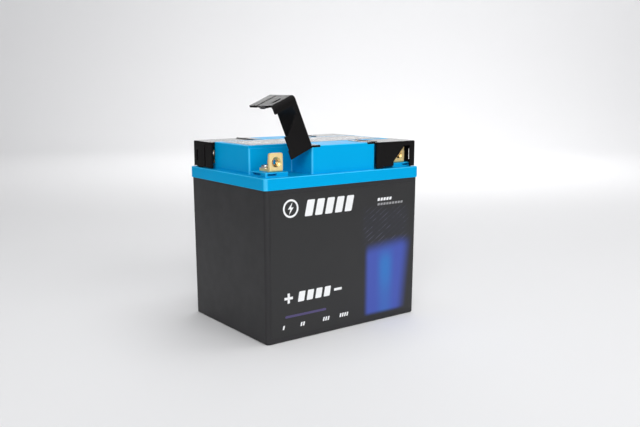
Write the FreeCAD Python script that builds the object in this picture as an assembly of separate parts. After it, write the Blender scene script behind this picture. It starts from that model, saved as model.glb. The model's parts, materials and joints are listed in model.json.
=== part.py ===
import FreeCAD, Part
import math
import os

# Lithium motorcycle battery with four corner terminals, each under a hinged cover.
# Millimetres. +X runs along the long side, +Y towards the back, +Z up.
# The origin is the centre of the footprint, on the surface the battery stands on.
# A shape that is cut away runs 1 mm past the face it goes through.

Vec = FreeCAD.Vector
os.makedirs("parts", exist_ok=True)

# ---------------------------------------------------------------- driving dimensions

# how deep one shape reaches into another that it is fused to, and a corner that stays sharp
JOIN = 0.5
SHARP_R = 0.01

BATTERY_LENGTH = 166.0
BATTERY_WIDTH = 126.0
BATTERY_HEIGHT = 160.8

# case: a drafted tub with a thinner rim that goes up inside the lid's skirt
CASE_TOP_INSET = 1.0
CASE_BOTTOM_INSET = 1.9
CASE_CORNER_R = 3.4
CASE_FOOT_R = 1.4
CASE_WALL = 2.4
CASE_FLOOR = 3.0
CASE_SHOULDER_Z = 127.1
RIM_TOP_Z = 133.2
RIM_INSET = 2.0
RIM_WALL = 1.4
CASE_INNER_R = 1.5
SEAL_WIDTH = 1.0
SEAL_CLEARANCE = 0.2
SEAL_CORNER_R = 2.2

# lid: a skirt band, a deck, and a raised cross that leaves a pocket at each corner
BAND_BOTTOM_Z = 127.4
DECK_TOP_Z = 137.2
DECK_THICKNESS = 3.0
BAND_CORNER_R = 4.2
SKIRT_INSET = 1.85
ARM_END_X = 76.5
ARM_END_Y = 58.5
ARM_HALF_X = 34.0
ARM_HALF_Y = 29.2
ARM_CORNER_R = 1.8
BLOCK_WALL = 2.2
BLOCK_ROOF = 3.0
BLOCK_EDGE_R = 0.9
HOLLOW_OUTER_R = 0.8
HOLLOW_INNER_R = 2.5
BAND_TOP_R = 0.9
BAND_FOOT_R = 0.4
INNER_CORNER_R = 1.5
RABBET_DEPTH = 1.0
RABBET_Z = 158.4

# plinth in each pocket, under the terminal
PLINTH_X0 = 56.5
PLINTH_X1 = 78.3
PLINTH_Y0 = 33.5
PLINTH_Y1 = 57.1
PLINTH_TOP_Z = 141.0
PLINTH_CORNER_R = 0.9
PLINTH_EDGE_R = 0.4
WINDOW_Z0 = 138.3
WINDOW_Z1 = 140.1
WINDOW_DEPTH = 3.5
SIDE_WINDOW_X0 = 67.8
SIDE_WINDOW_X1 = 76.6
END_WINDOW_Y0 = 36.8
END_WINDOW_Y1 = 49.6

# slot in the deck outside each plinth, for the cover's peg
LATCH_SLOT_X0 = 78.9
LATCH_SLOT_X1 = 81.9
LATCH_SLOT_Y0 = 44.0
LATCH_SLOT_Y1 = 52.5
LATCH_SLOT_DEPTH = 2.0

# terminal: an upright brass plate with a foot that is screwed down
TERMINAL_X = 66.3
TERMINAL_FACE_Y = 54.0
TERMINAL_WIDTH = 12.6
TERMINAL_TOP_Z = 156.2
TERMINAL_PLATE = 2.4
TERMINAL_CORNER_R = 1.8
BEND_R = 1.4
FOOT_THICKNESS = 2.0
FOOT_BACK_Y = 34.0
FOOT_WIDTH = 9.4
FOOT_CORNER_R = 3.0
FOOT_HOLE_R = 2.7
INSERT_Z = 148.8
INSERT_R = 4.3
INSERT_FLANGE_R = 5.3
INSERT_FLANGE = 2.6
THREAD_R = 2.6
DISH_DEPTH = 0.9
DISH_R = 4.1
POST_Y = 38.6
POST_R = 3.9
POST_FLANGE_R = 5.6
POST_HOLE_R = 4.0
POST_FLANGE_GAP = 0.1
POST_BORE_FLOOR = 0.5
SCREW_SHANK_R = 2.4
SCREW_HOLE_R = 2.45
SCREW_HEAD_R = 4.3
SCREW_HEAD = 2.8
SCREW_CROWN_R = 1.2
CROSS_REACH = 2.2
CROSS_HALF_WIDTH = 0.45
CROSS_DEPTH = 1.3

# covers: roof, side wall and end wall of one moulding, hinged at the pocket's inner end
COVER_END_X = 80.9
COVER_SIDE_Y = 60.9
COVER_BACK_Y = 28.5
COVER_LAP_X = 77.0
COVER_LAP_Y = 26.0
COVER_TOP_Z = 160.6
COVER_BOTTOM_Z = 138.0
COVER_WALL = 1.8
COVER_CORNER_R = 3.3
COVER_EDGE_R = 1.0
COVER_SMALL_R = 0.4
COVER_HOLLOW_R = 1.5
COVER_PAST_HINGE = 0.8
COVER_OPEN_DEG = 67.0
OPENING_X0 = 53.7
OPENING_SLOPE_X = 66.5
OPENING_X1 = 73.8
OPENING_SLOPE_Z = 142.8
OPENING_TOP_Z = 156.4
RELIEF_HEIGHT = 1.1
SIDE_RELIEF_X0 = 42.0
END_RELIEF_Y0 = 53.5
END_RELIEF_Y1 = 58.6
LONG_SLIT_Y0 = 36.9
LONG_SLIT_Y1 = 39.3
LONG_SLIT_TOP_Z = 157.9
SLOT_Y0 = 51.1
SLOT_Y1 = 54.0
SLOT_Z0 = 143.0
SLOT_Z1 = 152.6
SLOT_WALL = 1.0
SLOT_MARGIN = 1.6
LATCH_PEG_Y0 = 45.0
LATCH_PEG_Y1 = 51.5
LATCH_PEG_REACH = 2.2
LATCH_PEG_X0 = 79.2
LATCH_PEG_X1 = 80.6
NUB_Y0 = 40.5
NUB_Y1 = 47.5
NUB_GAP = 0.5
NUB_REACH = 0.1
HINGE_X = 35.4
HINGE_Z = 160.2
PIN_R = 0.7
KNUCKLE_BORE_R = 0.76
KNUCKLE_R = 1.4
KNUCKLE_REACH = 1.8
KNUCKLE_GAP = 0.3
LEAF_INNER_X = 25.4
LEAF_Y0 = 31.0
LEAF_Y1 = 58.2
LEAF_THICKNESS = 1.8
LEAF_RECESS = 1.5
LEAF_END_BARREL = 3.3
LEAF_MIDDLE_Y0 = 42.6
LEAF_MIDDLE_Y1 = 45.8
LEAF_CLEARANCE = 0.2
LEAF_SETBACK = 0.7
LEAF_EDGE_R = 0.6
LEAF_ARM_START = 1.2
PEG_TIP = 0.8
PIN_END = 0.4
PEG_R = 1.3
PEG_HOLE_R = 1.35
PEG_FROM_EDGE_X = 3.2
PEG_FROM_EDGE_Y = 6.5

# cells and what holds them
CELL_PITCH = 27.0
CELL_THICKNESS = 26.6
CELL_DEPTH = 66.0
CELL_BOTTOM_Z = 8.0
CELL_HEIGHT = 92.0
STUD_R = 4.0
STUD_HEIGHT = 3.0
STUD_Y = 20.0
CELL_CORNER_R = 2.0
VENT_R = 4.5
VENT_DEPTH = 0.4
LINK_THICKNESS = 1.2
LINK_HALF_WIDTH = 5.0
STRIP_CORNER_R = 2.0
TAB_HALF_WIDTH = 2.0
TAB_HALF_THICKNESS = 0.3
COLLECTOR_TOP_Z = 131.0
COLLECTOR_THICKNESS = 2.0
COLLECTOR_HALF_WIDTH = 5.4
COLLECTOR_OVERHANG = 6.0
LEAD_OVERLAP = 4.0
RISER_X = 59.0
TRAY_WALL = 2.0
TRAY_CLEARANCE = 0.2
TRAY_LIP = 8.0
FRAME_OVERHANG = 2.0
FRAME_TOP = 2.0
FRAME_SKIRT = 7.0
FRAME_SKIRT_WALL = 1.7
STUD_WINDOW = 2.5
PILLAR_HOLE_Z = 103.2
PILLAR_HOLE_GAP = 0.05
PILLAR_R = 3.4
BOARD_Z = 110.0
BOARD_THICKNESS = 1.6
BOARD_HALF_X = 54.0
BOARD_HALF_Y = 34.0
BOARD_SCREW_X = 50.0
BOARD_SCREW_Y = 30.0
BOARD_SCREW_R = 1.25
BOARD_SCREW_HEAD_R = 2.7
BOARD_SCREW_HEAD = 1.8
BOARD_SCREW_DEPTH = 6.0
BOARD_CORNER_R = 2.5
BOARD_HOLE_GAP = 0.35
# parts on the board: half length, half width and height
TRANSISTOR = (5.0, 4.5, 4.5)
TRANSISTOR_Y = 12.5
RESISTOR = (6.5, 3.0, 2.2)
RESISTOR_Y = -7.0
CAPACITOR_R = 4.0
CAPACITOR_HEIGHT = 11.0
CAPACITOR_X = 12.0
CAPACITOR_Y = -22.0
CONNECTOR = (8.0, 3.0, 7.0)
CONNECTOR_Y = 25.0
FOAM_GAP = 0.6
FOAM_TOP_Z = 92.0
FOAM_END_GAP = 3.0
FOAM_SIDE_GAP = 0.4

LABEL_THICKNESS = 0.15
FRONT_LABEL_HALF_X = 77.5
FRONT_LABEL_Z0 = 5.0
FRONT_LABEL_Z1 = 123.0
FRONT_LABEL_R = 2.5
TOP_LABEL_HALF_X = 71.5
TOP_LABEL_HALF_Y = 23.5
TOP_LABEL_R = 2.0

CASE_HALF_X = BATTERY_LENGTH / 2 - CASE_TOP_INSET
CASE_HALF_Y = BATTERY_WIDTH / 2 - CASE_TOP_INSET
FOOT_HALF_X = BATTERY_LENGTH / 2 - CASE_BOTTOM_INSET
FOOT_HALF_Y = BATTERY_WIDTH / 2 - CASE_BOTTOM_INSET
CORNERS = {
    "front_left": (-1, -1),
    "front_right": (1, -1),
    "back_left": (-1, 1),
    "back_right": (1, 1),
}


# ---------------------------------------------------------------- helpers

def save(shape, node):
    """Write one node's solids to its own file."""
    shape.exportStep("parts/" + node + ".step")


def block(x0, x1, y0, y1, z0, z1):
    """Box between two corners."""
    return Part.makeBox(x1 - x0, y1 - y0, z1 - z0, Vec(x0, y0, z0))


def rod(x, y, z0, z1, radius):
    """Upright cylinder."""
    return Part.makeCylinder(radius, z1 - z0, Vec(x, y, z0), Vec(0, 0, 1))


def rod_y(x, y0, y1, z, radius):
    """Cylinder along Y."""
    return Part.makeCylinder(radius, y1 - y0, Vec(x, y0, z), Vec(0, 1, 0))


def fuse_all(shapes):
    """One solid from several that touch or overlap."""
    return shapes[0].multiFuse(shapes[1:]).removeSplitter()


def rounded_wire(points, radii, z):
    """Closed horizontal wire through the points, each corner rounded by its own radius."""
    count = len(points)
    starts = []
    middles = []
    ends = []
    for i in range(count):
        corner = Vec(points[i][0], points[i][1], z)
        before = Vec(points[i - 1][0], points[i - 1][1], z) - corner
        after = Vec(points[(i + 1) % count][0], points[(i + 1) % count][1], z) - corner
        before.normalize()
        after.normalize()
        half = before.getAngle(after) / 2
        setback = radii[i] / math.tan(half)
        bisector = before + after
        bisector.normalize()
        centre = corner + bisector * (radii[i] / math.sin(half))
        starts.append(corner + before * setback)
        ends.append(corner + after * setback)
        middles.append(centre - bisector * radii[i])
    edges = []
    for i in range(count):
        edges.append(Part.Arc(starts[i], middles[i], ends[i]).toShape())
        edges.append(Part.LineSegment(ends[i], starts[(i + 1) % count]).toShape())
    return Part.Wire(edges)


def rounded_rectangle(half_x, half_y, radius, z):
    """Rounded rectangle about the Z axis."""
    points = [(-half_x, -half_y), (half_x, -half_y), (half_x, half_y), (-half_x, half_y)]
    return rounded_wire(points, [radius] * 4, z)


def prism(wire, height):
    """Solid standing on a horizontal wire."""
    return Part.Face(wire).extrude(Vec(0, 0, height))


def plate_xz(points, y0, y1):
    """Solid with an outline in X and Z, between two Y planes."""
    corners = [Vec(x, y0, z) for x, z in points]
    corners.append(corners[0])
    return Part.Face(Part.makePolygon(corners)).extrude(Vec(0, y1 - y0, 0))


def strip(x0, x1, y0, y1, z, thickness):
    """Flat metal strip with rounded corners."""
    wire = rounded_wire([(x0, y0), (x1, y0), (x1, y1), (x0, y1)], [STRIP_CORNER_R] * 4, z)
    return prism(wire, thickness)


def around(half_x, half_y, margin, z0, z1):
    """Box about the Z axis, grown all round by a margin."""
    return block(-half_x - margin, half_x + margin, -half_y - margin, half_y + margin, z0, z1)


def edges_at_height(shape, z):
    """Edges that lie wholly in one horizontal plane."""
    found = []
    for edge in shape.Edges:
        box = edge.BoundBox
        if abs(box.ZMin - z) < 1e-4 and abs(box.ZMax - z) < 1e-4:
            found.append(edge)
    return found


def vertical_edges_at(shape, places):
    """Upright edges that pass through the given X, Y places."""
    found = []
    for edge in shape.Edges:
        box = edge.BoundBox
        for x, y in places:
            upright = box.ZLength > 0.5 and box.XLength < 1e-4 and box.YLength < 1e-4
            if upright and abs(box.XMin - x) < 1e-3 and abs(box.YMin - y) < 1e-3:
                found.append(edge)
    return found


def to_corner(shape, side_x, side_y):
    """Mirror a piece made for the back right corner into another corner."""
    placed = shape
    if side_x < 0:
        placed = placed.mirror(Vec(0, 0, 0), Vec(1, 0, 0))
    if side_y < 0:
        placed = placed.mirror(Vec(0, 0, 0), Vec(0, 1, 0))
    return placed


def in_all_corners(shape):
    """The same piece in all four corners, as separate solids."""
    return [to_corner(shape, side_x, side_y) for side_x, side_y in CORNERS.values()]


# ---------------------------------------------------------------- housing

def make_case():
    """Drafted tub with rounded corners, a shoulder for the lid and a thin rim above it."""
    foot = rounded_rectangle(FOOT_HALF_X, FOOT_HALF_Y, CASE_CORNER_R, 0)
    shoulder = rounded_rectangle(CASE_HALF_X, CASE_HALF_Y, CASE_CORNER_R, CASE_SHOULDER_Z)
    body = Part.makeLoft([foot, shoulder], True, True)
    body = body.makeFillet(CASE_FOOT_R, edges_at_height(body, 0))
    rim_x = BATTERY_LENGTH / 2 - RIM_INSET
    rim_y = BATTERY_WIDTH / 2 - RIM_INSET
    rim = prism(rounded_rectangle(rim_x, rim_y, CASE_CORNER_R - 1, CASE_SHOULDER_Z - 2),
                RIM_TOP_Z - CASE_SHOULDER_Z + 2)
    inside_foot = rounded_rectangle(FOOT_HALF_X - CASE_WALL, FOOT_HALF_Y - CASE_WALL,
                                    CASE_INNER_R, CASE_FLOOR)
    inside_top = rounded_rectangle(rim_x - RIM_WALL, rim_y - RIM_WALL, CASE_INNER_R, RIM_TOP_Z + 1)
    inside = Part.makeLoft([inside_foot, inside_top], True, True)
    return body.fuse(rim).cut(inside).removeSplitter()


def cross_wire(margin, z, outer_r, inner_r):
    """Outline of the raised cross, shrunk all round by a margin."""
    ex = ARM_END_X - margin
    ey = ARM_END_Y - margin
    hx = ARM_HALF_X - margin
    hy = ARM_HALF_Y - margin
    points = [(-hx, -ey), (hx, -ey), (hx, -hy), (ex, -hy), (ex, hy), (hx, hy),
              (hx, ey), (-hx, ey), (-hx, hy), (-ex, hy), (-ex, -hy), (-hx, -hy)]
    return rounded_wire(points, [outer_r, outer_r, inner_r] * 4, z)


def make_plinth():
    """Raised pad under a terminal, with a latch window in its two outer faces."""
    pad = block(PLINTH_X0, PLINTH_X1, PLINTH_Y0, PLINTH_Y1, DECK_TOP_Z - 1, PLINTH_TOP_Z)
    places = [(x, y) for x in (PLINTH_X0, PLINTH_X1) for y in (PLINTH_Y0, PLINTH_Y1)]
    pad = pad.makeFillet(PLINTH_CORNER_R, vertical_edges_at(pad, places))
    pad = pad.makeFillet(PLINTH_EDGE_R, edges_at_height(pad, PLINTH_TOP_Z))
    side_window = block(SIDE_WINDOW_X0, SIDE_WINDOW_X1, PLINTH_Y1 - WINDOW_DEPTH, PLINTH_Y1 + 1,
                        WINDOW_Z0, WINDOW_Z1)
    end_window = block(PLINTH_X1 - WINDOW_DEPTH, PLINTH_X1 + 1, END_WINDOW_Y0, END_WINDOW_Y1,
                       WINDOW_Z0, WINDOW_Z1)
    return pad.cut(side_window).cut(end_window)


def make_lid():
    """Skirt, deck and raised cross with four pockets, moulded as one piece."""
    half_x = BATTERY_LENGTH / 2
    half_y = BATTERY_WIDTH / 2
    band = prism(rounded_rectangle(half_x, half_y, BAND_CORNER_R, BAND_BOTTOM_Z),
                 DECK_TOP_Z - BAND_BOTTOM_Z)
    band = band.makeFillet(BAND_TOP_R, edges_at_height(band, DECK_TOP_Z))
    band = band.makeFillet(BAND_FOOT_R, edges_at_height(band, BAND_BOTTOM_Z))
    skirt_inside = prism(rounded_rectangle(half_x - SKIRT_INSET, half_y - SKIRT_INSET,
                                           BAND_CORNER_R - SKIRT_INSET, BAND_BOTTOM_Z - 1),
                         DECK_TOP_Z - DECK_THICKNESS - BAND_BOTTOM_Z + 1)
    cross = prism(cross_wire(0, DECK_TOP_Z - 1, ARM_CORNER_R, INNER_CORNER_R),
                  BATTERY_HEIGHT - DECK_TOP_Z + 1)
    cross = cross.makeFillet(BLOCK_EDGE_R, edges_at_height(cross, BATTERY_HEIGHT))
    hollow = prism(cross_wire(BLOCK_WALL, BAND_BOTTOM_Z, HOLLOW_OUTER_R, HOLLOW_INNER_R),
                   BATTERY_HEIGHT - BLOCK_ROOF - BAND_BOTTOM_Z)
    lid = fuse_all([band, cross] + in_all_corners(make_plinth()))
    cuts = [skirt_inside, hollow]
    ledge = block(ARM_HALF_X - 1, ARM_END_X + 1, ARM_HALF_Y - RABBET_DEPTH, ARM_HALF_Y + 1,
                  RABBET_Z, BATTERY_HEIGHT + 1)
    recess = block(LEAF_INNER_X - LEAF_CLEARANCE, ARM_HALF_X + 1, LEAF_Y0 - LEAF_CLEARANCE, ARM_END_Y + 1,
                   BATTERY_HEIGHT - LEAF_RECESS, BATTERY_HEIGHT + 1)
    latch_slot = block(LATCH_SLOT_X0, LATCH_SLOT_X1, LATCH_SLOT_Y0, LATCH_SLOT_Y1,
                       DECK_TOP_Z - LATCH_SLOT_DEPTH, DECK_TOP_Z + 1)
    post_hole = rod(TERMINAL_X, POST_Y, DECK_TOP_Z - DECK_THICKNESS - 1, PLINTH_TOP_Z + 1, POST_HOLE_R)
    for piece in (ledge, recess, latch_slot, post_hole):
        cuts += in_all_corners(piece)
    for x, y in peg_places():
        hole = rod(x, y, BATTERY_HEIGHT - BLOCK_ROOF - 1, BATTERY_HEIGHT, PEG_HOLE_R)
        cuts += in_all_corners(hole)
    return lid.cut(cuts).removeSplitter()


def make_seal():
    """Flat ring squeezed between the case rim and the lid's deck."""
    outer_x = BATTERY_LENGTH / 2 - RIM_INSET - SEAL_CLEARANCE
    outer_y = BATTERY_WIDTH / 2 - RIM_INSET - SEAL_CLEARANCE
    height = DECK_TOP_Z - DECK_THICKNESS - RIM_TOP_Z
    ring = prism(rounded_rectangle(outer_x, outer_y, SEAL_CORNER_R, RIM_TOP_Z), height)
    hole = prism(rounded_rectangle(outer_x - SEAL_WIDTH, outer_y - SEAL_WIDTH,
                                   SEAL_CORNER_R - SEAL_WIDTH, RIM_TOP_Z), height)
    return ring.cut(hole)


# ---------------------------------------------------------------- hinged covers

def peg_places():
    """Where the two pegs of a hinge leaf go, in the back right corner."""
    x = LEAF_INNER_X + PEG_FROM_EDGE_X
    return [(x, LEAF_Y0 + PEG_FROM_EDGE_Y), (x, LEAF_Y1 - PEG_FROM_EDGE_Y)]


def knuckle(y0, y1, arm, bore_r):
    """Hinge barrel fused to the arm that carries it, with its bore cut through both."""
    barrel = rod_y(HINGE_X, y0, y1, HINGE_Z, KNUCKLE_R)
    return barrel.fuse(arm).cut(rod_y(HINGE_X, y0 - 1, y1 + 1, HINGE_Z, bore_r))


def make_leaf():
    """Fixed hinge leaf: a plate in the lid's recess, three barrels and two pegs."""
    floor_z = BATTERY_HEIGHT - LEAF_RECESS
    top_z = floor_z + LEAF_THICKNESS
    plate = block(LEAF_INNER_X, ARM_HALF_X - LEAF_SETBACK, LEAF_Y0, LEAF_Y1, floor_z, top_z)
    inner = [e for e in edges_at_height(plate, top_z) if e.BoundBox.XMax < ARM_HALF_X - 2]
    plate = plate.makeFillet(LEAF_EDGE_R, inner)
    pieces = [plate]
    for y0, y1 in leaf_barrels():
        arm = block(ARM_HALF_X - LEAF_ARM_START, HINGE_X, y0, y1, floor_z, top_z)
        pieces.append(knuckle(y0, y1, arm, PIN_R))
    for x, y in peg_places():
        pieces.append(rod(x, y, BATTERY_HEIGHT - BLOCK_ROOF - PEG_TIP, floor_z + JOIN, PEG_R))
    return fuse_all(pieces)


def leaf_barrels():
    """Y spans of the leaf's three barrels."""
    return [(LEAF_Y0, LEAF_Y0 + LEAF_END_BARREL), (LEAF_MIDDLE_Y0, LEAF_MIDDLE_Y1),
            (LEAF_Y1 - LEAF_END_BARREL, LEAF_Y1)]


def cover_barrels():
    """Y spans of the cover's two barrels, between those of the leaf."""
    spans = leaf_barrels()
    return [(spans[i][1] + KNUCKLE_GAP, spans[i + 1][0] - KNUCKLE_GAP) for i in range(2)]


def make_cover():
    """Closed cover of the back right pocket; its end laps round the end of the lid's arm."""
    inner_x = HINGE_X - COVER_PAST_HINGE
    roof_x = HINGE_X + KNUCKLE_REACH
    corners = [(inner_x, COVER_BACK_Y), (COVER_LAP_X, COVER_BACK_Y), (COVER_LAP_X, COVER_LAP_Y),
               (COVER_END_X, COVER_LAP_Y), (COVER_END_X, COVER_SIDE_Y), (inner_x, COVER_SIDE_Y)]
    radii = [SHARP_R, SHARP_R, COVER_SMALL_R, COVER_SMALL_R, COVER_CORNER_R, COVER_SMALL_R]
    shell = prism(rounded_wire(corners, radii, COVER_BOTTOM_Z),
                  COVER_TOP_Z - COVER_BOTTOM_Z)
    outer_edges = []
    for edge in edges_at_height(shell, COVER_TOP_Z):
        box = edge.BoundBox
        if box.YMax > COVER_SIDE_Y - 0.01 or box.XMax > COVER_END_X - 0.01:
            if box.YMin > COVER_LAP_Y + 0.1:
                outer_edges.append(edge)
    shell = shell.makeFillet(COVER_EDGE_R, outer_edges)
    hollow_corners = [(inner_x - 5, COVER_BACK_Y - 5), (COVER_END_X - COVER_WALL, COVER_BACK_Y - 5),
                      (COVER_END_X - COVER_WALL, COVER_SIDE_Y - COVER_WALL),
                      (inner_x - 5, COVER_SIDE_Y - COVER_WALL)]
    hollow_radii = [SHARP_R, SHARP_R, COVER_HOLLOW_R, SHARP_R]
    hollow = prism(rounded_wire(hollow_corners, hollow_radii, COVER_BOTTOM_Z - 1),
                   COVER_TOP_Z - COVER_WALL - COVER_BOTTOM_Z + 1)
    hinge_gap = block(inner_x - 1, roof_x, COVER_BACK_Y - 1, COVER_SIDE_Y - COVER_WALL,
                      COVER_TOP_Z - COVER_WALL - 1, COVER_TOP_Z + 1)
    # the outlines of the cuts run past both faces of the wall that they go through
    side = (COVER_SIDE_Y - COVER_WALL - 1, COVER_SIDE_Y + 1)
    end = (COVER_END_X - COVER_WALL - 1, COVER_END_X + 1)
    below = COVER_BOTTOM_Z - 1
    # cable opening in the side wall: upright edge, slope, and a strip left at the corner
    side_opening = plate_xz([(OPENING_X0, below), (OPENING_X0, OPENING_SLOPE_Z),
                             (OPENING_SLOPE_X, OPENING_TOP_Z), (OPENING_X1, OPENING_TOP_Z),
                             (OPENING_X1, below)], side[0], side[1])
    side_relief = block(SIDE_RELIEF_X0, OPENING_X0 + JOIN, side[0], side[1],
                        below, COVER_BOTTOM_Z + RELIEF_HEIGHT)
    end_relief = block(end[0], end[1], END_RELIEF_Y0, END_RELIEF_Y1,
                       below, COVER_BOTTOM_Z + RELIEF_HEIGHT)
    long_slit = block(end[0], end[1], LONG_SLIT_Y0, LONG_SLIT_Y1,
                      below, LONG_SLIT_TOP_Z)
    # slot in the end wall, which is thinner round it on the inside
    slot = block(end[0], end[1], SLOT_Y0, SLOT_Y1, SLOT_Z0, SLOT_Z1)
    thinned = block(end[0], COVER_END_X - SLOT_WALL, SLOT_Y0 - SLOT_MARGIN, SLOT_Y1 + SLOT_MARGIN,
                    SLOT_Z0, SLOT_Z1 + SLOT_MARGIN)
    cuts = [hollow, hinge_gap, side_opening, side_relief, end_relief, long_slit, slot, thinned]
    # peg that drops into the deck's slot, and a nub that clicks into the plinth's window
    peg = block(LATCH_PEG_X0, LATCH_PEG_X1, LATCH_PEG_Y0, LATCH_PEG_Y1,
                COVER_BOTTOM_Z - LATCH_PEG_REACH, COVER_BOTTOM_Z + JOIN)
    nub = block(PLINTH_X1 - NUB_REACH, COVER_END_X - COVER_WALL + JOIN, NUB_Y0, NUB_Y1,
                WINDOW_Z0 + NUB_GAP, WINDOW_Z1 - NUB_GAP)
    pieces = [shell.cut(cuts), peg, nub]
    for y0, y1 in cover_barrels():
        arm = block(HINGE_X, roof_x + JOIN, y0, y1, COVER_TOP_Z - COVER_WALL, COVER_TOP_Z)
        pieces.append(knuckle(y0, y1, arm, KNUCKLE_BORE_R))
    return fuse_all(pieces)


def make_pin():
    """Hinge pin held in the leaf's barrels."""
    return rod_y(HINGE_X, LEAF_Y0 - PIN_END, LEAF_Y1 + PIN_END, HINGE_Z, PIN_R)


# ---------------------------------------------------------------- terminals

def make_terminal():
    """Bent brass blank: upright plate with the cable hole, and a narrower foot behind it."""
    x0 = TERMINAL_X - TERMINAL_WIDTH / 2
    x1 = TERMINAL_X + TERMINAL_WIDTH / 2
    inner_y = TERMINAL_FACE_Y - TERMINAL_PLATE
    upright = block(x0, x1, inner_y, TERMINAL_FACE_Y, PLINTH_TOP_Z, TERMINAL_TOP_Z)
    top_corners = []
    for edge in edges_at_height(upright, TERMINAL_TOP_Z):
        if edge.BoundBox.YLength > 1:
            top_corners.append(edge)
    upright = upright.makeFillet(TERMINAL_CORNER_R, top_corners)
    foot_x0 = TERMINAL_X - FOOT_WIDTH / 2
    foot_x1 = TERMINAL_X + FOOT_WIDTH / 2
    foot = block(foot_x0, foot_x1, FOOT_BACK_Y, inner_y + 1, PLINTH_TOP_Z, PLINTH_TOP_Z + FOOT_THICKNESS)
    back_corners = vertical_edges_at(foot, [(foot_x0, FOOT_BACK_Y), (foot_x1, FOOT_BACK_Y)])
    foot = foot.makeFillet(FOOT_CORNER_R, back_corners)
    bent = fuse_all([upright, foot])
    bend = [e for e in edges_at_height(bent, PLINTH_TOP_Z) if e.BoundBox.YMin > TERMINAL_FACE_Y - 0.1]
    bent = bent.makeFillet(BEND_R, bend)
    seat = rod_y(TERMINAL_X, inner_y - 1, TERMINAL_FACE_Y + 1, INSERT_Z, INSERT_R)
    screw_hole = rod(TERMINAL_X, POST_Y, PLINTH_TOP_Z - 1, PLINTH_TOP_Z + FOOT_THICKNESS + 1, FOOT_HOLE_R)
    return bent.cut([seat, screw_hole])


def make_insert():
    """Threaded brass insert pressed through the upright plate, dished at its mouth."""
    inner_y = TERMINAL_FACE_Y - TERMINAL_PLATE
    sleeve = rod_y(TERMINAL_X, inner_y - INSERT_FLANGE, TERMINAL_FACE_Y, INSERT_Z, INSERT_R)
    flange = rod_y(TERMINAL_X, inner_y - INSERT_FLANGE, inner_y, INSERT_Z, INSERT_FLANGE_R)
    thread = rod_y(TERMINAL_X, inner_y - INSERT_FLANGE - 1, TERMINAL_FACE_Y + 1, INSERT_Z, THREAD_R)
    dish = Part.makeCone(THREAD_R, DISH_R, DISH_DEPTH,
                         Vec(TERMINAL_X, TERMINAL_FACE_Y - DISH_DEPTH, INSERT_Z), Vec(0, 1, 0))
    return sleeve.fuse(flange).cut([thread, dish]).removeSplitter()


def make_terminal_screw():
    """Pan head screw with a cross recess that clamps the terminal's foot to its post."""
    head_z = PLINTH_TOP_Z + FOOT_THICKNESS
    head = rod(TERMINAL_X, POST_Y, head_z, head_z + SCREW_HEAD, SCREW_HEAD_R)
    head = head.makeFillet(SCREW_CROWN_R, edges_at_height(head, head_z + SCREW_HEAD))
    shank = rod(TERMINAL_X, POST_Y, COLLECTOR_TOP_Z + 1, head_z + JOIN, SCREW_SHANK_R)
    screw = head.fuse(shank)
    slot_z = head_z + SCREW_HEAD - CROSS_DEPTH
    slots = []
    for half_x, half_y in ((CROSS_REACH, CROSS_HALF_WIDTH), (CROSS_HALF_WIDTH, CROSS_REACH)):
        slots.append(block(TERMINAL_X - half_x, TERMINAL_X + half_x, POST_Y - half_y, POST_Y + half_y,
                           slot_z, slot_z + SCREW_HEAD))
    return screw.cut(slots).removeSplitter()


def make_post():
    """Brass post from the collector bar up through the lid, tapped for the screw."""
    flange_top = DECK_TOP_Z - DECK_THICKNESS - POST_FLANGE_GAP
    flange = rod(TERMINAL_X, POST_Y, COLLECTOR_TOP_Z, flange_top, POST_FLANGE_R)
    stem = rod(TERMINAL_X, POST_Y, COLLECTOR_TOP_Z, PLINTH_TOP_Z, POST_R)
    hole = rod(TERMINAL_X, POST_Y, COLLECTOR_TOP_Z + POST_BORE_FLOOR, PLINTH_TOP_Z + 1, SCREW_HOLE_R)
    return flange.fuse(stem).cut(hole).removeSplitter()


def make_collector(side_x):
    """Flat bar under the deck that joins the front and back posts of one side."""
    half_length = POST_Y + COLLECTOR_OVERHANG
    bottom = COLLECTOR_TOP_Z - COLLECTOR_THICKNESS
    bar = strip(TERMINAL_X - COLLECTOR_HALF_WIDTH, TERMINAL_X + COLLECTOR_HALF_WIDTH,
                -half_length, half_length, bottom, COLLECTOR_THICKNESS)
    return to_corner(bar, side_x, 1)


def make_lead(side_x):
    """Bent copper strip from an end cell's stud up to the collector bar."""
    stud_x = 1.5 * CELL_PITCH
    low = CELL_BOTTOM_Z + CELL_HEIGHT + STUD_HEIGHT
    high = COLLECTOR_TOP_Z - COLLECTOR_THICKNESS
    start_x = stud_x - LINK_HALF_WIDTH
    end_x = TERMINAL_X + LEAD_OVERLAP
    t = LINK_THICKNESS
    outline = [(start_x, low), (RISER_X + t, low), (RISER_X + t, high - t), (end_x, high - t),
               (end_x, high), (RISER_X, high), (RISER_X, low + t), (start_x, low + t)]
    lead = plate_xz(outline, -STUD_Y - LINK_HALF_WIDTH, -STUD_Y + LINK_HALF_WIDTH)
    return to_corner(lead, side_x, 1)


# ---------------------------------------------------------------- cells and their supports

def cell_centre(index):
    """X of a cell's middle, counted from the left."""
    return (index - 1.5) * CELL_PITCH


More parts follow.
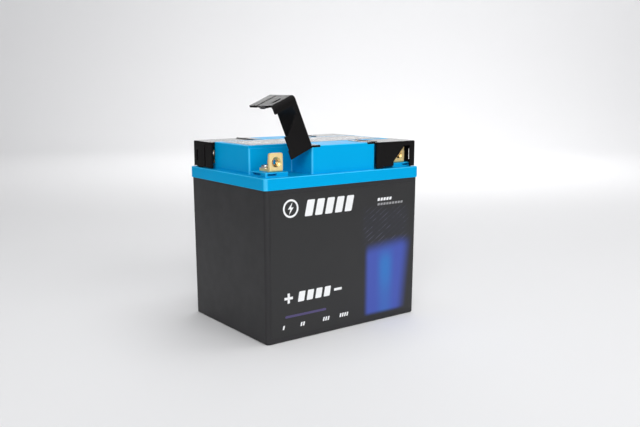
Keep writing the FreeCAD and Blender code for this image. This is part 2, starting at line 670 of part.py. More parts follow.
def make_cell(index):
    """Prismatic cell: sealed can, two studs and a round vent in its top."""
    x = cell_centre(index)
    top = CELL_BOTTOM_Z + CELL_HEIGHT
    can = block(x - CELL_THICKNESS / 2, x + CELL_THICKNESS / 2, -CELL_DEPTH / 2, CELL_DEPTH / 2,
                CELL_BOTTOM_Z, top)
    places = []
    for side_x in (-1, 1):
        for side_y in (-1, 1):
            places.append((x + side_x * CELL_THICKNESS / 2, side_y * CELL_DEPTH / 2))
    can = can.makeFillet(CELL_CORNER_R, vertical_edges_at(can, places))
    studs = [rod(x, side * STUD_Y, top - 1, top + STUD_HEIGHT, STUD_R) for side in (-1, 1)]
    vent = rod(x, 0, top - VENT_DEPTH, top + 1, VENT_R)
    return fuse_all([can] + studs).cut(vent)


def link_side(index):
    """Which row of studs a series link joins: 1 for the back row, -1 for the front row."""
    return 1 if index % 2 == 0 else -1


def make_series_links():
    """Three bars that join neighbouring cells in series, on alternate sides."""
    z = CELL_BOTTOM_Z + CELL_HEIGHT + STUD_HEIGHT
    links = []
    for index in range(3):
        side_y = link_side(index) * STUD_Y
        links.append(strip(cell_centre(index) - LINK_HALF_WIDTH, cell_centre(index + 1) + LINK_HALF_WIDTH,
                           side_y - LINK_HALF_WIDTH, side_y + LINK_HALF_WIDTH, z, LINK_THICKNESS))
    return Part.makeCompound(links)


def make_sense_tabs():
    """Nickel tabs from the links and leads up to the balance board."""
    z0 = CELL_BOTTOM_Z + CELL_HEIGHT + STUD_HEIGHT + LINK_THICKNESS
    places = [(cell_centre(0), -STUD_Y), (cell_centre(3), -STUD_Y)]
    for index in range(3):
        places.append((cell_centre(index + 0.5), link_side(index) * STUD_Y))
    tabs = []
    for x, y in places:
        tabs.append(block(x - TAB_HALF_WIDTH, x + TAB_HALF_WIDTH,
                          y - TAB_HALF_THICKNESS, y + TAB_HALF_THICKNESS, z0, BOARD_Z))
    return Part.makeCompound(tabs)


def make_cell_tray():
    """Shallow tray that holds the feet of the four cells off the case floor."""
    half_x = 2 * CELL_PITCH
    half_y = CELL_DEPTH / 2
    tray = around(half_x, half_y, TRAY_WALL + TRAY_CLEARANCE, CASE_FLOOR, CELL_BOTTOM_Z + TRAY_LIP)
    well = around(half_x, half_y, TRAY_CLEARANCE, CELL_BOTTOM_Z, CELL_BOTTOM_Z + TRAY_LIP + 1)
    relief = around(half_x, half_y, -2 * TRAY_WALL, CASE_FLOOR - 1, CELL_BOTTOM_Z - TRAY_WALL)
    return tray.cut([well, relief])


def make_cell_frame():
    """Frame over the cells with windows for the studs and four pillars for the board."""
    cells_top = CELL_BOTTOM_Z + CELL_HEIGHT
    floor_z = cells_top + TRAY_CLEARANCE
    half_x = 2 * CELL_PITCH
    half_y = CELL_DEPTH / 2
    plate = around(half_x, half_y, FRAME_OVERHANG, floor_z, floor_z + FRAME_TOP)
    skirt = around(half_x, half_y, FRAME_OVERHANG, cells_top - FRAME_SKIRT, floor_z)
    skirt = skirt.cut(around(half_x, half_y, FRAME_OVERHANG - FRAME_SKIRT_WALL,
                             cells_top - FRAME_SKIRT - 1, floor_z + 1))
    window_x = half_x - FRAME_OVERHANG
    window_y = STUD_R + STUD_WINDOW
    windows = [block(-window_x, window_x, side * STUD_Y - window_y, side * STUD_Y + window_y,
                     cells_top, floor_z + FRAME_TOP + 1) for side in (-1, 1)]
    pillars = [rod(x, y, floor_z + 1, BOARD_Z, PILLAR_R) for x, y in board_corners()]
    hole_r = BOARD_SCREW_R + PILLAR_HOLE_GAP
    holes = [rod(x, y, PILLAR_HOLE_Z, BOARD_Z + 1, hole_r) for x, y in board_corners()]
    return fuse_all([plate.cut(windows), skirt] + pillars).cut(holes)


def board_corners():
    """Screw places of the balance board."""
    return [(x, y) for x in (-BOARD_SCREW_X, BOARD_SCREW_X) for y in (-BOARD_SCREW_Y, BOARD_SCREW_Y)]


def make_board():
    """Circuit board that balances the cells."""
    board = prism(rounded_rectangle(BOARD_HALF_X, BOARD_HALF_Y, BOARD_CORNER_R, BOARD_Z), BOARD_THICKNESS)
    top_z = BOARD_Z + BOARD_THICKNESS
    hole_r = BOARD_SCREW_R + BOARD_HOLE_GAP
    return board.cut([rod(x, y, BOARD_Z - 1, top_z + 1, hole_r) for x, y in board_corners()])


def make_board_screws():
    """Four small screws through the board into the frame's pillars."""
    screws = []
    for x, y in board_corners():
        head_z = BOARD_Z + BOARD_THICKNESS
        head = rod(x, y, head_z, head_z + BOARD_SCREW_HEAD, BOARD_SCREW_HEAD_R)
        shank = rod(x, y, BOARD_Z - BOARD_SCREW_DEPTH, head_z + JOIN, BOARD_SCREW_R)
        screws.append(head.fuse(shank).removeSplitter())
    return Part.makeCompound(screws)


def on_board(x, y, half_x, half_y, height):
    """Rectangular part standing on the board."""
    z = BOARD_Z + BOARD_THICKNESS
    return block(x - half_x, x + half_x, y - half_y, y + half_y, z, z + height)


def make_board_components():
    """Balancing transistors, power resistors, two capacitors and a connector on the board."""
    pieces = []
    for index in range(4):
        pieces.append(on_board(cell_centre(index), TRANSISTOR_Y, *TRANSISTOR))
        pieces.append(on_board(cell_centre(index), RESISTOR_Y, *RESISTOR))
    top_z = BOARD_Z + BOARD_THICKNESS
    for x in (-CAPACITOR_X, CAPACITOR_X):
        pieces.append(rod(x, CAPACITOR_Y, top_z, top_z + CAPACITOR_HEIGHT, CAPACITOR_R))
    pieces.append(on_board(0, CONNECTOR_Y, *CONNECTOR))
    return Part.makeCompound(pieces)


def make_foam(side_x, side_y):
    """Foam block between the cell pack and one wall of the case."""
    pack_x = 2 * CELL_PITCH + TRAY_WALL + FOAM_GAP
    pack_y = CELL_DEPTH / 2 + TRAY_WALL + FOAM_GAP
    wall_x = FOOT_HALF_X - CASE_WALL - FOAM_GAP
    wall_y = FOOT_HALF_Y - CASE_WALL - FOAM_GAP
    if side_x:
        piece = block(pack_x, wall_x, -wall_y + FOAM_END_GAP, wall_y - FOAM_END_GAP, CASE_FLOOR, FOAM_TOP_Z)
    else:
        piece = block(-pack_x + FOAM_SIDE_GAP, pack_x - FOAM_SIDE_GAP, pack_y, wall_y, CASE_FLOOR, FOAM_TOP_Z)
    return to_corner(piece, side_x if side_x else 1, side_y if side_y else 1)


# ---------------------------------------------------------------- labels

def make_front_label():
    """Thin film on the drafted front face, set back from its edges."""
    lean = (CASE_HALF_Y - FOOT_HALF_Y) / CASE_SHOULDER_Z
    corners = []
    for x, z in ((-1, FRONT_LABEL_Z0), (1, FRONT_LABEL_Z0), (1, FRONT_LABEL_Z1), (-1, FRONT_LABEL_Z1)):
        corners.append(Vec(x * FRONT_LABEL_HALF_X, -FOOT_HALF_Y - lean * z, z))
    corners.append(corners[0])
    film = Part.Face(Part.makePolygon(corners)).extrude(Vec(0, -LABEL_THICKNESS, 0))
    through = []
    for edge in film.Edges:
        box = edge.BoundBox
        if box.YLength > LABEL_THICKNESS * 0.9 and box.XLength < 0.01 and box.ZLength < 0.01:
            through.append(edge)
    return film.makeFillet(FRONT_LABEL_R, through)


def make_top_label():
    """Thin film on the top of the cross."""
    wire = rounded_rectangle(TOP_LABEL_HALF_X, TOP_LABEL_HALF_Y, TOP_LABEL_R, BATTERY_HEIGHT)
    return prism(wire, LABEL_THICKNESS)


# ---------------------------------------------------------------- write the nodes

save(make_case(), "case")
save(make_lid(), "lid")
save(make_seal(), "lid_seal")

cover_closed = make_cover()
leaf = make_leaf()
terminal = make_terminal()
for name, (side_x, side_y) in CORNERS.items():
    cover = to_corner(cover_closed, side_x, side_y)
    if name == "front_left":
        cover.rotate(Vec(-HINGE_X, 0, HINGE_Z), Vec(0, 1, 0), COVER_OPEN_DEG)
    save(cover, "cover_" + name)
    save(to_corner(leaf, side_x, side_y), "hinge_leaf_" + name)
    save(to_corner(terminal, side_x, side_y), "terminal_" + name)

save(Part.makeCompound(in_all_corners(make_pin())), "hinge_pins")
save(Part.makeCompound(in_all_corners(make_insert())), "threaded_inserts")
save(Part.makeCompound(in_all_corners(make_terminal_screw())), "terminal_screws")
save(Part.makeCompound(in_all_corners(make_post())), "terminal_posts")
save(make_collector(-1), "positive_collector")
save(make_collector(1), "negative_collector")
save(make_lead(-1), "positive_lead")
save(make_lead(1), "negative_lead")

for number in range(4):
    save(make_cell(number), "cell_" + str(number + 1))
save(make_series_links(), "series_links")
save(make_sense_tabs(), "sense_tabs")
save(make_cell_tray(), "cell_tray")
save(make_cell_frame(), "cell_frame")
save(make_board(), "balance_board")
save(make_board_screws(), "board_screws")
save(make_board_components(), "board_components")
save(make_foam(-1, 0), "foam_left")
save(make_foam(1, 0), "foam_right")
save(make_foam(0, -1), "foam_front")
save(make_foam(0, 1), "foam_back")

save(make_front_label(), "front_label")
save(make_top_label(), "top_label")
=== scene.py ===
import json
import math

import bmesh
import bpy
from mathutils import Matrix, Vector


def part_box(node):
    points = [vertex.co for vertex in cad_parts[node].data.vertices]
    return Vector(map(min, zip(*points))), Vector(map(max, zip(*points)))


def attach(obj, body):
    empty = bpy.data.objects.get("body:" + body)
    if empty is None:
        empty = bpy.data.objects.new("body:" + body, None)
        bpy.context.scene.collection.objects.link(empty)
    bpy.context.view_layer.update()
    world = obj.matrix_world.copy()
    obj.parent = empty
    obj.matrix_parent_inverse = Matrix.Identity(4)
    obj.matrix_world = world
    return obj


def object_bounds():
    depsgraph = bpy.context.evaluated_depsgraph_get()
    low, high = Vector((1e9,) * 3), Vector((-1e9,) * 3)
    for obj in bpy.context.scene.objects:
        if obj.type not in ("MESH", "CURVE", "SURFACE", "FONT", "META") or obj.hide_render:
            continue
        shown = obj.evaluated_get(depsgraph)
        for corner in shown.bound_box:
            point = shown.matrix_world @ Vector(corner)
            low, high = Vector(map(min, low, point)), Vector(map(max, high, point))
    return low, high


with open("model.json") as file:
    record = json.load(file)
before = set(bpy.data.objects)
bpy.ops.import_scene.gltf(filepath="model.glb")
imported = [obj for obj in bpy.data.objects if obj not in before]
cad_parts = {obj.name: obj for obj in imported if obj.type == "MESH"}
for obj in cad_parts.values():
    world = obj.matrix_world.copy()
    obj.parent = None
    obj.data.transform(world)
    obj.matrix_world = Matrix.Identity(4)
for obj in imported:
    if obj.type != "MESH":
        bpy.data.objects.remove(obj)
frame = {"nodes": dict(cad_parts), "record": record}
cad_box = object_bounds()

# Lithium motorcycle battery: materials, printed marks, thread ridges, studio and camera
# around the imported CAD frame. Metres, +Z up, the labelled front face looks along -Y.

MM = 0.001
RIGHT = Vector((1.0, 0.0, 0.0))
BACK = Vector((0.0, 1.0, 0.0))
NODES = frame["nodes"]
SLOT_OF = {row["node"]: row["material_slot"] for row in frame["record"]["subparts"]}
# which way each terminal faces along Y
FACING = {"front_left": -1, "front_right": -1, "back_left": 1, "back_right": 1}

# the values that a noise mostly stays between
NOISE_LOW, NOISE_HIGH = 0.3, 0.7
BEVEL_SAMPLES = 6
COAT_ROUGHNESS = 0.1

# ink is sunk a little into its film and stands a little proud of it
INK_THICKNESS = 0.03 * MM
INK_SUNK = 0.004 * MM


# ---------------------------------------------------------------- node graph helpers

class Paint:
    """A Principled material with short calls for the nodes that drive it.

    Coordinates are the piece's own, in metres."""

    def __init__(self, name, colour, roughness, metallic=0.0, specular=0.5, coat=0.0):
        self.material = bpy.data.materials.new(name)
        self.material.use_nodes = True
        self.tree = self.material.node_tree
        self.bsdf = self.tree.nodes["Principled BSDF"]
        self.bsdf.inputs["Base Color"].default_value = (*colour, 1.0)
        self.bsdf.inputs["Roughness"].default_value = roughness
        self.bsdf.inputs["Metallic"].default_value = metallic
        self.bsdf.inputs["Specular IOR Level"].default_value = specular
        self.bsdf.inputs["Coat Weight"].default_value = coat
        self.bsdf.inputs["Coat Roughness"].default_value = COAT_ROUGHNESS
        self.normal = None
        self.place = self.node("ShaderNodeTexCoord").outputs["Object"]

    def node(self, kind, **settings):
        made = self.tree.nodes.new(kind)
        for key, value in settings.items():
            setattr(made, key, value)
        return made

    def link(self, value, socket):
        """Connect a socket, or set a plain value."""
        if isinstance(value, bpy.types.NodeSocket):
            self.tree.links.new(value, socket)
        else:
            socket.default_value = value

    # values

    def math(self, operation, a, b=0.0, c=None):
        made = self.node("ShaderNodeMath", operation=operation)
        self.link(a, made.inputs[0])
        self.link(b, made.inputs[1])
        if c is not None:
            self.link(c, made.inputs[2])
        return made.outputs[0]

    def product(self, *values):
        result = values[0]
        for value in values[1:]:
            result = self.math("MULTIPLY", result, value)
        return result

    def distance(self, value, centre):
        """How far a value is from a centre, on either side."""
        return self.math("ABSOLUTE", self.math("SUBTRACT", value, centre))

    def spread(self, value, low, high, to_low, to_high, smooth=False):
        """Map a range of a value to another range, clamped."""
        made = self.node("ShaderNodeMapRange", interpolation_type="SMOOTHSTEP" if smooth else "LINEAR")
        self.link(value, made.inputs["Value"])
        made.inputs["From Min"].default_value = low
        made.inputs["From Max"].default_value = high
        made.inputs["To Min"].default_value = to_low
        made.inputs["To Max"].default_value = to_high
        return made.outputs["Result"]

    def band(self, value, low, high, blur):
        """1 between two values, falling off over a blur width at both ends."""
        rise = self.spread(value, low - blur, low + blur, 0.0, 1.0, smooth=True)
        fall = self.spread(value, high - blur, high + blur, 1.0, 0.0, smooth=True)
        return self.product(rise, fall)

    # places and patterns

    def axis(self, name):
        """The piece's coordinate along one axis."""
        made = self.node("ShaderNodeSeparateXYZ")
        self.tree.links.new(self.place, made.inputs[0])
        return made.outputs[name]

    def stretched(self, scale):
        """The piece's coordinates, scaled by axis, for grain that runs one way."""
        made = self.node("ShaderNodeMapping")
        self.tree.links.new(self.place, made.inputs["Vector"])
        made.inputs["Scale"].default_value = scale
        return made.outputs["Vector"]

    def noise(self, scale, detail=3.0, roughness=0.5, place=None):
        made = self.node("ShaderNodeTexNoise")
        self.tree.links.new(place or self.place, made.inputs["Vector"])
        made.inputs["Scale"].default_value = scale
        made.inputs["Detail"].default_value = detail
        made.inputs["Roughness"].default_value = roughness
        return made.outputs["Fac"]

    def cells(self, scale):
        made = self.node("ShaderNodeTexVoronoi", feature="F1")
        self.tree.links.new(self.place, made.inputs["Vector"])
        made.inputs["Scale"].default_value = scale
        return made.outputs["Distance"]

    def edge_mask(self, radius):
        """1 near a convex or concave edge, 0 on open faces."""
        rounded_off = self.node("ShaderNodeBevel", samples=BEVEL_SAMPLES)
        rounded_off.inputs["Radius"].default_value = radius
        plain = self.node("ShaderNodeNewGeometry")
        dot = self.node("ShaderNodeVectorMath", operation="DOT_PRODUCT")
        self.tree.links.new(rounded_off.outputs["Normal"], dot.inputs[0])
        self.tree.links.new(plain.outputs["Normal"], dot.inputs[1])
        open_face, edge = 0.97, 0.80
        return self.spread(dot.outputs["Value"], open_face, edge, 0.0, 1.0)

    def edge_wear_and_sheen(self, radius, scale, start, full, painted_highlight_floor=0.0):
        """Lighter colour along the edges: patchy rubbing, whose patches run from a start to a full level of
        the noise, over an even painted highlight along every edge at the lowest share.
        """
        patches = self.spread(self.noise(scale, 4), start, full, painted_highlight_floor, 1.0)
        return self.product(self.edge_mask(radius), patches)

    def rounding(self):
        """1 on the rounded corners between upright and level faces, 0 on the faces themselves: the mask of
        the lid's painted highlight.
        """
        parts = self.node("ShaderNodeSeparateXYZ")
        self.tree.links.new(self.node("ShaderNodeTexCoord").outputs["Normal"], parts.inputs[0])
        sizes = [self.math("ABSOLUTE", parts.outputs[axis]) for axis in ("X", "Y", "Z")]
        largest = self.math("MAXIMUM", self.math("MAXIMUM", sizes[0], sizes[1]), sizes[2])
        flat, round_corner = 0.985, 0.86
        return self.spread(largest, flat, round_corner, 0.0, 1.0, smooth=True)

    # colours

    def mix(self, share, a, b):
        """Mix two colours by a share."""
        made = self.node("ShaderNodeMix", data_type="RGBA")
        # the node's sockets for colours come after those for numbers and vectors
        first, second, result = 6, 7, 2
        self.link(share, made.inputs["Factor"])
        self.link(a, made.inputs[first])
        self.link(b, made.inputs[second])
        return made.outputs[result]

    def mottle(self, pattern, dark, light):
        """Two shades of one colour, mixed by a pattern."""
        return self.mix(pattern, (*dark, 1.0), (*light, 1.0))

    def tint(self, body, mask, strength, colour):
        """Lay a colour over the body where a mask says, up to a strength."""
        return self.mix(self.product(mask, strength), body, (*colour, 1.0))

    # what the shader takes

    def colour(self, value):
        self.tree.links.new(value, self.bsdf.inputs["Base Color"])

    def uneven_gloss(self, scale, detail, smoothest, roughest):
        """Let the roughness drift between two levels."""
        level = self.spread(self.noise(scale, detail), NOISE_LOW, NOISE_HIGH, smoothest, roughest)
        self.tree.links.new(level, self.bsdf.inputs["Roughness"])

    def graze(self, facing_on, grazing):
        """Raise the reflectance from its face-on level to a stronger one at grazing angles."""
        weight = self.node("ShaderNodeLayerWeight")
        weight.inputs["Blend"].default_value = 0.5
        start, full = 0.62, 0.90
        level = self.spread(weight.outputs["Facing"], start, full, facing_on, grazing, smooth=True)
        self.tree.links.new(level, self.bsdf.inputs["Specular IOR Level"])

    def soften_edges(self, radius):
        """Round off the sharp edges in the shading, as a moulding or a stamping has them."""
        made = self.node("ShaderNodeBevel", samples=BEVEL_SAMPLES)
        made.inputs["Radius"].default_value = radius
        self.normal = made.outputs["Normal"]
        self.tree.links.new(self.normal, self.bsdf.inputs["Normal"])

    def bump(self, height, strength, distance):
        """Add relief on top of what is there already."""
        made = self.node("ShaderNodeBump")
        made.inputs["Strength"].default_value = strength
        made.inputs["Distance"].default_value = distance
        self.link(height, made.inputs["Height"])
        if self.normal is not None:
            self.tree.links.new(self.normal, made.inputs["Normal"])
        self.normal = made.outputs["Normal"]
        self.tree.links.new(self.normal, self.bsdf.inputs["Normal"])


# ---------------------------------------------------------------- materials

def case_plastic():
    """Black moulded case: spark-eroded grain, faint mottling, lighter worn edges and light scuffs."""
    paint = Paint("case_plastic", (0.020, 0.019, 0.021), 0.50, specular=0.36)
    paint.soften_edges(0.35 * MM)
    body = paint.mottle(paint.noise(28, 4), (0.0175, 0.0170, 0.0185), (0.0222, 0.0217, 0.0235))
    scuffs = paint.spread(paint.noise(30, 6, 0.7, paint.stretched((1.0, 1.0, 14.0))), 0.62, 0.70, 0.0, 1.0)
    body = paint.tint(body, scuffs, 0.05, (0.09, 0.09, 0.09))
    paint.colour(paint.tint(body, paint.edge_wear_and_sheen(0.8 * MM, 260, 0.45, 0.70), 0.45, (0.11, 0.11, 0.115)))
    paint.uneven_gloss(90, 3, 0.46, 0.53)
    paint.bump(paint.noise(2600, 2, 0.6), 0.28, 0.05 * MM)
    paint.bump(paint.noise(420, 3), 0.12, 0.06 * MM)
    return paint.material


def lid_plastic():
    """Blue moulded lid: satin, with slight flow marks, fine grain, patchy rubbed edges and painted
    highlights: paler blue along every edge and on the rounded corners.
    """
    paint = Paint("lid_plastic", (0.0, 0.37, 0.78), 0.36, specular=0.04)
    paint.soften_edges(0.3 * MM)
    flow = paint.noise(16, 5, 0.55, paint.stretched((1.0, 1.0, 2.2)))
    body = paint.mottle(flow, (0.0, 0.348, 0.700), (0.0, 0.392, 0.762))
    # painted highlight: an even paler blue along every edge, with patchy rubbing on top
    body = paint.tint(body, paint.edge_wear_and_sheen(0.7 * MM, 300, 0.35, 0.65, painted_highlight_floor=0.45), 0.50, (0.06, 0.58, 0.94))
    # painted highlight: paler blue on the rounded corners, where the fillets would catch the light
    paint.colour(paint.tint(body, paint.rounding(), 0.55, (0.10, 0.62, 0.96)))
    paint.uneven_gloss(55, 4, 0.34, 0.46)
    paint.bump(paint.noise(3200, 2, 0.6), 0.08, 0.02 * MM)
    paint.bump(paint.noise(120, 3), 0.02, 0.05 * MM)
    return paint.material


def cover_plastic():
    """Deep black flexible plastic of the covers and their hinge leaves."""
    paint = Paint("cover_plastic", (0.0050, 0.0047, 0.0048), 0.27, specular=0.17)
    paint.soften_edges(0.22 * MM)
    body = paint.mottle(paint.noise(45, 4), (0.0088, 0.0083, 0.0084), (0.0125, 0.0117, 0.0118))
    paint.colour(paint.tint(body, paint.edge_wear_and_sheen(0.5 * MM, 420, 0.45, 0.70), 0.5, (0.055, 0.053, 0.053)))
    paint.uneven_gloss(110, 4, 0.16, 0.26)
    paint.graze(0.04, 0.74)
    paint.bump(paint.noise(2400, 2, 0.6), 0.03, 0.008 * MM)
    return paint.material


def seal_rubber():
    """Soft black seal with a dull, slightly dusty face."""
    paint = Paint("seal_rubber", (0.018, 0.018, 0.018), 0.75, specular=0.3)
    paint.colour(paint.mottle(paint.noise(180, 4), (0.014, 0.014, 0.014), (0.030, 0.029, 0.028)))
    paint.uneven_gloss(300, 3, 0.66, 0.84)
    paint.bump(paint.noise(1500, 3), 0.2, 0.04 * MM)
    return paint.material


def metal(name, dark, light, roughness, grain_scale, grain_stretch, edge, tarnish=None, metallic=1.0):
    """Bare metal: directional grain, uneven roughness, brighter edges and some tarnish."""
    paint = Paint(name, dark, roughness[0], metallic=metallic)
    paint.soften_edges(0.16 * MM)
    grain = paint.noise(grain_scale, 4, 0.65, paint.stretched(grain_stretch))
    body = paint.mottle(grain, dark, light)
    if tarnish:
        stain = paint.spread(paint.noise(110, 5, 0.6), 0.56, 0.74, 0.0, 0.45)
        body = paint.mix(stain, body, (*tarnish, 1.0))
    paint.colour(paint.mix(paint.edge_mask(0.4 * MM), body, (*edge, 1.0)))
    paint.uneven_gloss(160, 4, *roughness)
    paint.bump(grain, 0.08, 0.012 * MM)
    return paint.material


def brass():
    """Satin brass of the bent terminals and posts, under a thin pale bloom."""
    return metal("brass", dark=(0.94, 0.69, 0.30), light=(0.98, 0.76, 0.37), roughness=(0.42, 0.56),
                 grain_scale=900, grain_stretch=(1.0, 1.0, 0.12), edge=(1.0, 0.91, 0.66),
                 tarnish=(0.84, 0.56, 0.20), metallic=0.35)


def insert_brass():
    """Turned brass of the threaded inserts: a deeper yellow with a sharper shine."""
    return metal("insert_brass", dark=(0.80, 0.53, 0.18), light=(0.90, 0.64, 0.26), roughness=(0.20, 0.32),
                 grain_scale=1200, grain_stretch=(1.0, 0.2, 1.0), edge=(1.0, 0.84, 0.50),
                 tarnish=(0.62, 0.38, 0.14))


def steel():
    """Plated steel of the screws and pins."""
    return metal("steel", dark=(0.58, 0.56, 0.54), light=(0.72, 0.70, 0.68), roughness=(0.18, 0.32),
                 grain_scale=1300, grain_stretch=(1.0, 1.0, 1.0), edge=(0.86, 0.85, 0.84),
                 tarnish=(0.40, 0.30, 0.24))


def copper():
    """Rolled copper of the collectors, leads and links."""
    return metal("copper", dark=(0.78, 0.38, 0.24), light=(0.88, 0.50, 0.34), roughness=(0.26, 0.40),
                 grain_scale=800, grain_stretch=(0.15, 1.0, 1.0), edge=(0.98, 0.68, 0.52),
                 tarnish=(0.42, 0.20, 0.13))


def nickel():
    """Thin nickel strip of the sense tabs."""
    return metal("nickel", dark=(0.60, 0.57, 0.52), light=(0.72, 0.69, 0.64), roughness=(0.24, 0.38),
                 grain_scale=900, grain_stretch=(1.0, 1.0, 0.2), edge=(0.84, 0.82, 0.78))


def cell_can():
    """Drawn aluminium of the cells."""
    return metal("cell_can", dark=(0.62, 0.63, 0.65), light=(0.74, 0.75, 0.77), roughness=(0.30, 0.44),
                 grain_scale=700, grain_stretch=(1.0, 1.0, 0.06), edge=(0.85, 0.86, 0.87))


def inner_plastic():
    """Dark grey glass-filled plastic of the tray and frame."""
    paint = Paint("inner_plastic", (0.07, 0.07, 0.075), 0.6)
    paint.soften_edges(0.3 * MM)
    fibres = paint.noise(240, 5, 0.7, paint.stretched((0.35, 1.0, 1.0)))
    paint.colour(paint.mottle(fibres, (0.055, 0.055, 0.060), (0.10, 0.10, 0.105)))
    paint.uneven_gloss(90, 3, 0.52, 0.70)
    paint.bump(fibres, 0.15, 0.05 * MM)
    return paint.material


def board():
    """Green circuit board with wide copper tracks under the mask."""
    paint = Paint("board", (0.01, 0.14, 0.05), 0.35, coat=0.3)
    tracks = paint.node("ShaderNodeTexBrick", offset=0.5, squash=1.4, squash_frequency=3)
    paint.tree.links.new(paint.place, tracks.inputs["Vector"])
    tracks.inputs["Scale"].default_value = 90
    tracks.inputs["Mortar Size"].default_value = 0.035
    tracks.inputs["Color1"].default_value = (0.010, 0.150, 0.055, 1)
    tracks.inputs["Color2"].default_value = (0.012, 0.190, 0.070, 1)
    tracks.inputs["Mortar"].default_value = (0.006, 0.075, 0.030, 1)
    paint.colour(tracks.outputs["Color"])
    paint.bump(tracks.outputs["Fac"], 0.2, 0.04 * MM)
    paint.uneven_gloss(200, 3, 0.28, 0.42)
    return paint.material


def component():
    """Black epoxy packages."""
    paint = Paint("component", (0.02, 0.02, 0.02), 0.5)
    paint.soften_edges(0.25 * MM)
    paint.colour(paint.mottle(paint.noise(300, 4), (0.016, 0.016, 0.017), (0.034, 0.034, 0.034)))
    paint.uneven_gloss(500, 3, 0.42, 0.60)
    paint.bump(paint.noise(1800, 3), 0.2, 0.03 * MM)
    return paint.material


def foam():
    """Closed-cell foam with an open-pored cut face; painted shade darkens each pore."""
    paint = Paint("foam", (0.06, 0.06, 0.06), 0.92, specular=0.15)
    pores = paint.cells(700)
    depth = paint.spread(pores, 0.0, 0.6, 0.0, 1.0)
    # painted shade: darker towards the middle of each pore, where the bump sinks it
    paint.colour(paint.mottle(depth, (0.030, 0.030, 0.031), (0.085, 0.085, 0.086)))
    paint.bump(pores, 0.6, 0.5 * MM)
    paint.uneven_gloss(200, 3, 0.86, 0.96)
    return paint.material


def front_film():
    """Satin black film: a soft blue column of light on the right, and a hatch that fades out above it."""
    low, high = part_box("front_label")
    paint = Paint("front_film", (0.021, 0.021, 0.022), 0.40, specular=0.36)
    x, z = paint.axis("X"), paint.axis("Z")

    def across(share):
        """A place across the film, as a share of its width."""
        return low.x + share * (high.x - low.x)

    def along(share):
        """A place up the film, as a share of its height."""
        return low.z + share * (high.z - low.z)

    # column of light: upright on its left, leaning in towards the foot on its right, with a tilted crown
    column = paint.band(x, across(0.648), across(1.2), 3.4 * MM)
    leaning = paint.math("MULTIPLY_ADD", z, -0.11, x)
    right_side = paint.spread(leaning, across(0.860), across(0.955), 1.0, 0.0, smooth=True)
    tilted = paint.math("MULTIPLY_ADD", paint.distance(x, across(0.90)), 0.10, z)
    crown = paint.spread(tilted, along(0.500), along(0.615), 1.0, 0.0, smooth=True)
    foot = paint.spread(z, low.z + 0.5 * MM, low.z + 5.0 * MM, 0.0, 1.0, smooth=True)
    glow = paint.product(column, right_side, crown, foot)

    # brighter core of the column, fading towards the foot and the crown
    core = paint.product(
        paint.spread(paint.distance(x, across(0.79)), 1.0 * MM, 13.0 * MM, 1.0, 0.0, smooth=True),
        paint.spread(z, along(0.10), along(0.36), 0.45, 1.0, smooth=True),
        paint.spread(z, along(0.40), along(0.54), 1.0, 0.12, smooth=True))
    light = paint.mottle(core, (0.050, 0.086, 0.420), (0.026, 0.168, 0.520))

    # hatch: thin slanting lines broken up by noise, in a zone over the column
    slanting = paint.math("SUBTRACT", z, paint.math("MULTIPLY", x, 0.62))
    within_pitch = paint.math("FRACT", paint.math("DIVIDE", slanting, 4.6 * MM))
    lines = paint.spread(paint.distance(within_pitch, 0.5), 0.38, 0.46, 0.0, 1.0)
    zone = paint.product(paint.band(x, across(0.62), across(0.955), 4.0 * MM),
                         paint.band(z, along(0.55), along(0.82), 6.0 * MM))
    breaks = paint.spread(paint.noise(110, 3, 0.6), 0.46, 0.58, 0.10, 1.0)
    hatch = paint.product(lines, zone, breaks)

    body = paint.mottle(paint.noise(24, 4), (0.0195, 0.0195, 0.0200), (0.0230, 0.0230, 0.0240))
    body = paint.tint(body, zone, 0.35, (0.024, 0.026, 0.040))
    body = paint.tint(body, hatch, 0.38, (0.13, 0.13, 0.20))
    paint.colour(paint.mix(paint.product(glow, 0.92), body, light))
    paint.uneven_gloss(60, 4, 0.38, 0.47)
    paint.bump(paint.noise(900, 2), 0.06, 0.02 * MM)
    return paint.material


def top_film():
    """Gloss-laminated dark label on top of the lid."""
    paint = Paint("top_film", (0.10, 0.098, 0.098), 0.20, specular=0.5)
    paint.colour(paint.mottle(paint.noise(30, 4), (0.092, 0.089, 0.090), (0.115, 0.110, 0.111)))
    paint.uneven_gloss(70, 4, 0.20, 0.27)
    paint.graze(0.45, 0.68)
    paint.bump(paint.noise(60, 2), 0.01, 0.01 * MM)
    return paint.material


def ink(name, colour, roughness=0.45):
    """Printed ink: nearly even, with slight density changes."""
    paint = Paint(name, colour, roughness, specular=0.4)
    thinner = tuple(0.93 * channel for channel in colour)
    paint.colour(paint.mottle(paint.noise(240, 3), thinner, colour))
    paint.uneven_gloss(120, 3, roughness - 0.04, roughness + 0.05)
    paint.bump(paint.noise(1600, 2), 0.05, 0.01 * MM)
    return paint.material


def studio_paper():
    """Matt pale background paper."""
    paint = Paint("studio_paper", (0.80, 0.80, 0.81), 0.9, specular=0.1)
    paint.colour(paint.mottle(paint.noise(2.0, 3), (0.795, 0.795, 0.805), (0.81, 0.81, 0.82)))
    return paint.material


MAKERS = (case_plastic, lid_plastic, cover_plastic, seal_rubber, brass, insert_brass, steel, copper, nickel,
          inner_plastic, board, component, cell_can, foam, front_film, top_film)
MATERIALS = {maker.__name__: maker() for maker in MAKERS}
WHITE_INK = ink("white_ink", (0.86, 0.87, 0.88))
PALE_INK = ink("pale_ink", (0.46, 0.46, 0.47), 0.30)
GREY_INK = ink("grey_ink", (0.30, 0.30, 0.31))
VIOLET_INK = ink("violet_ink", (0.075, 0.060, 0.160))


